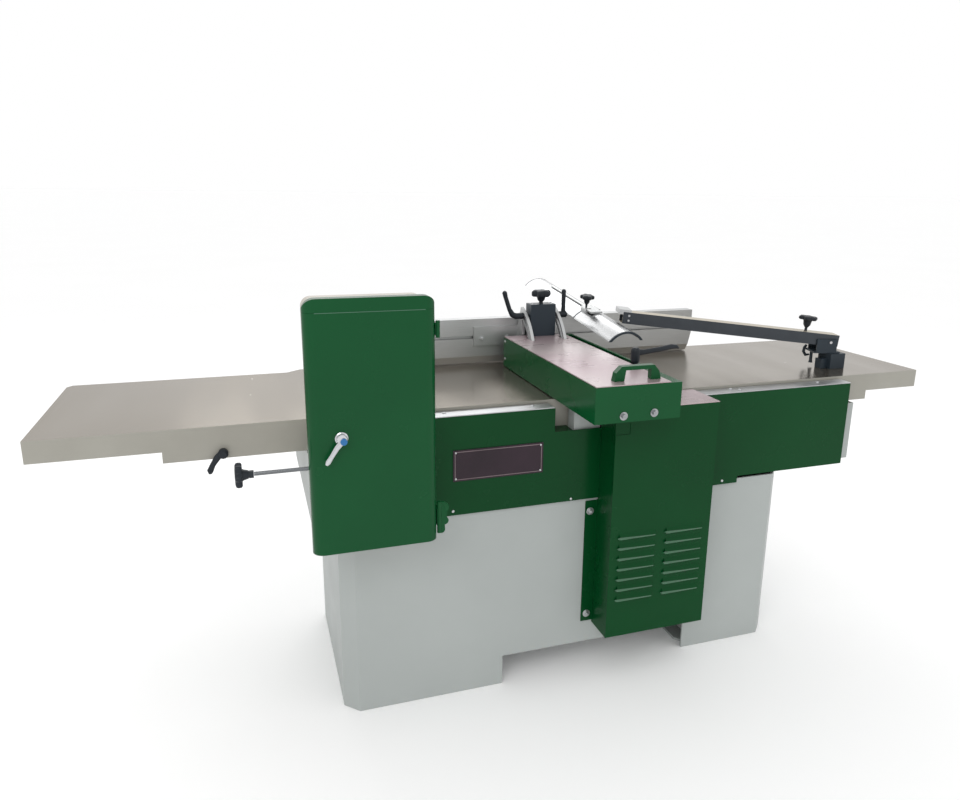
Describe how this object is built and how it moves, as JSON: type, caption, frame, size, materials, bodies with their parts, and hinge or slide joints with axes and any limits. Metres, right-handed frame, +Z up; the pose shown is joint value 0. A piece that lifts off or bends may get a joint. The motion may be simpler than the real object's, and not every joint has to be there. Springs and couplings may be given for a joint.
{
  "type": "surface planer",
  "caption": "Long-bed surface planer (jointer) on a welded pedestal with sliding bridge fence, swinging arched cutter guard, louvred belt cover and side cabinet.",
  "frame": {"origin": "centre of the bounding box in plan, on the floor under the pedestal", "axes": "+X along the tables from the infeed end to the outfeed end, +Y from the rear (cabinet and bridge side) towards the operator, +Z up"},
  "size_m": [2.6, 1.1304, 1.171],
  "materials": {
    "paint_grey": "light grey semi-gloss powder coat",
    "paint_green": "deep green gloss enamel",
    "paint_blue": "motor enamel",
    "dark_paint": "blue-black satin paint",
    "cast_table": "planed and ground cast iron, oiled",
    "machined_iron": "dark cast iron, machined faces",
    "ground_steel": "ground bright steel",
    "zinc": "zinc plated sheet",
    "chrome_rod": "bright chrome",
    "filmed_steel": "stainless sheet still under pink protective film",
    "fence_aluminium": "natural anodised extrusion",
    "arm_aluminium": "anodised extrusion, dark side insert",
    "polished_aluminium": "polished sheet",
    "black_plastic": "black moulded grip",
    "belt_rubber": "moulded belt",
    "plate_dark": "dark blank plate"
  },
  "bodies": {
    "machine": {"base_pedestal": "paint_grey", "upper_body": "paint_grey", "chip_chute": "zinc", "rear_panel_left": "paint_green", "rear_panel_right": "paint_green", "ledge_left": "filmed_steel", "ledge_right": "filmed_steel", "nameplate": "plate_dark", "drive_cover": "paint_green", "cover_top_plate": "filmed_steel", "bearing_housing_near": "machined_iron", "bearing_housing_far": "machined_iron", "motor_stator": "paint_blue", "motor_shelf": "paint_grey", "drive_belt": "belt_rubber", "outfeed_table": "cast_table", "outfeed_lip": "ground_steel", "infeed_slideway": "machined_iron", "outfeed_slideway": "machined_iron", "lift_gearbox": "machined_iron", "cabinet_shell": "paint_grey", "cabinet_header": "paint_green", "cabinet_hinge_upper": "paint_green", "cabinet_hinge_lower": "paint_green", "switch_plate": "zinc", "main_contactor": "black_plastic", "terminal_strip": "black_plastic", "fence_support": "machined_iron", "guard_table_block": "dark_paint"},
    "infeed": {"infeed_table": "cast_table", "infeed_lip": "ground_steel"},
    "table_lock": {"table_lock_lever": "black_plastic"},
    "adjuster": {"adjusting_knob": "black_plastic", "adjusting_rod": "chrome_rod"},
    "cutter": {"cutterblock": "ground_steel", "cutter_pulley": "machined_iron"},
    "motor_shaft": {"motor_rotor": "ground_steel", "motor_pulley": "machined_iron"},
    "door": {"cabinet_door": "paint_green"},
    "door_lock": {"door_lock_handle": "zinc"},
    "carriage": {"bridge_housing": "paint_green", "bridge_top_plate": "filmed_steel", "bridge_handle": "paint_green", "slide_bar": "ground_steel", "fence_post": "dark_paint"},
    "bridge_clamp": {"bridge_clamp_lever": "dark_paint"},
    "tilt": {"tilt_frame": "fence_aluminium"},
    "fence_body": {"fence": "fence_aluminium"},
    "lever_left": {"tilt_lever_left": "black_plastic"},
    "lever_right": {"tilt_lever_right": "black_plastic"},
    "top_knob": {"post_knob": "black_plastic"},
    "swivel": {"guard_swivel": "dark_paint", "guard_hinge_pin": "ground_steel"},
    "arm": {"guard_arm": "arm_aluminium", "arm_end_bracket": "fence_aluminium", "guard_saddle": "fence_aluminium"},
    "arm_grip": {"arm_knob": "black_plastic"},
    "saddle_grip": {"guard_knob": "black_plastic"},
    "near_guard": {"guard_near": "polished_aluminium"},
    "far_guard": {"guard_far": "polished_aluminium"}
  },
  "joints": [
    {"name": "infeed_rise", "type": "slide", "parent": "machine", "child": "infeed", "axis": [0, 0, 1], "range_m": [-0.008, 0]},
    {"name": "table_lock_turn", "type": "hinge", "parent": "infeed", "child": "table_lock", "pos_m": [-0.872, -0.29484, 0.772], "axis": [0, 1, 0], "range_deg": [-35, 35]},
    {"name": "adjuster_turn", "type": "hinge", "parent": "machine", "child": "adjuster", "pos_m": [-0.804, -0.47784, 0.776], "axis": [1, 0, 0], "range_deg": [-720, 0]},
    {"name": "cutter_spin", "type": "hinge", "parent": "machine", "child": "cutter", "pos_m": [0.182, -0.29484, 0.791], "axis": [0, 1, 0], "continuous": true},
    {"name": "motor_spin", "type": "hinge", "parent": "machine", "child": "motor_shaft", "pos_m": [0.3, -0.29484, 0.285], "axis": [0, 1, 0], "continuous": true},
    {"name": "door_swing", "type": "hinge", "parent": "machine", "child": "door", "pos_m": [-0.3785, -0.49184, 0.86], "axis": [0, 0, 1], "range_deg": [0, 100]},
    {"name": "door_lock_turn", "type": "hinge", "parent": "door", "child": "door_lock", "pos_m": [-0.61, -0.51184, 0.853], "axis": [0, 1, 0], "range_deg": [0, 90]},
    {"name": "fence_slide", "type": "slide", "parent": "machine", "child": "carriage", "axis": [0, 1, 0], "range_m": [-0.44, 0]},
    {"name": "bridge_clamp_turn", "type": "hinge", "parent": "machine", "child": "bridge_clamp", "pos_m": [0.223, -0.34184, 0.9304], "axis": [0, 0, 1], "range_deg": [-60, 25]},
    {"name": "fence_tilt", "type": "hinge", "parent": "carriage", "child": "tilt", "pos_m": [0.12, 0.22416, 0.843], "axis": [-1, 0, 0], "range_deg": [0, 45]},
    {"name": "fence_shift", "type": "slide", "parent": "tilt", "child": "fence_body", "axis": [1, 0, 0], "range_m": [-0.12, 0.05]},
    {"name": "tilt_lever_left_turn", "type": "hinge", "parent": "carriage", "child": "lever_left", "pos_m": [0.05, 0.12616, 1.005], "axis": [1, 0, 0], "range_deg": [-40, 40]},
    {"name": "tilt_lever_right_turn", "type": "hinge", "parent": "carriage", "child": "lever_right", "pos_m": [0.2, 0.12616, 1.005], "axis": [1, 0, 0], "range_deg": [-40, 40]},
    {"name": "post_knob_turn", "type": "hinge", "parent": "carriage", "child": "top_knob", "pos_m": [0.125, 0.12416, 1.0444], "axis": [0, 0, 1], "continuous": true},
    {"name": "guard_swing", "type": "hinge", "parent": "machine", "child": "swivel", "pos_m": [1.053, -0.17784, 0.89], "axis": [0, 0, 1], "range_deg": [-1.5, 3.5]},
    {"name": "guard_lift", "type": "hinge", "parent": "swivel", "child": "arm", "pos_m": [1.03893, -0.16104, 0.927], "axis": [0.304, 0.9527, 0], "range_deg": [0, 25.4]},
    {"name": "arm_knob_turn", "type": "hinge", "parent": "arm", "child": "arm_grip", "pos_m": [0.96898, -0.13872, 0.95991], "axis": [0.0963, -0.0307, 0.9949], "continuous": true},
    {"name": "guard_knob_turn", "type": "hinge", "parent": "arm", "child": "saddle_grip", "pos_m": [0.28753, 0.12166, 1.02641], "axis": [0.0051, -0.1367, 0.9906], "continuous": true},
    {"name": "guard_slide", "type": "slide", "parent": "arm", "child": "near_guard", "axis": [-0.0372, 0.9899, 0.1368], "range_m": [-0.06, 0.06]},
    {"name": "guard_extend", "type": "slide", "parent": "near_guard", "child": "far_guard", "axis": [-0.0372, 0.9899, 0.1368], "range_m": [-0.06, 0.08]}
  ],
  "couplings": [
    {"joint": "guard_lift", "follows": "fence_slide", "rad_per_m": -1},
    {"joint": "motor_spin", "follows": "cutter_spin", "ratio": 0.6875},
    {"joint": "adjuster_turn", "follows": "infeed_rise", "rad_per_m": 1570}
  ]
}
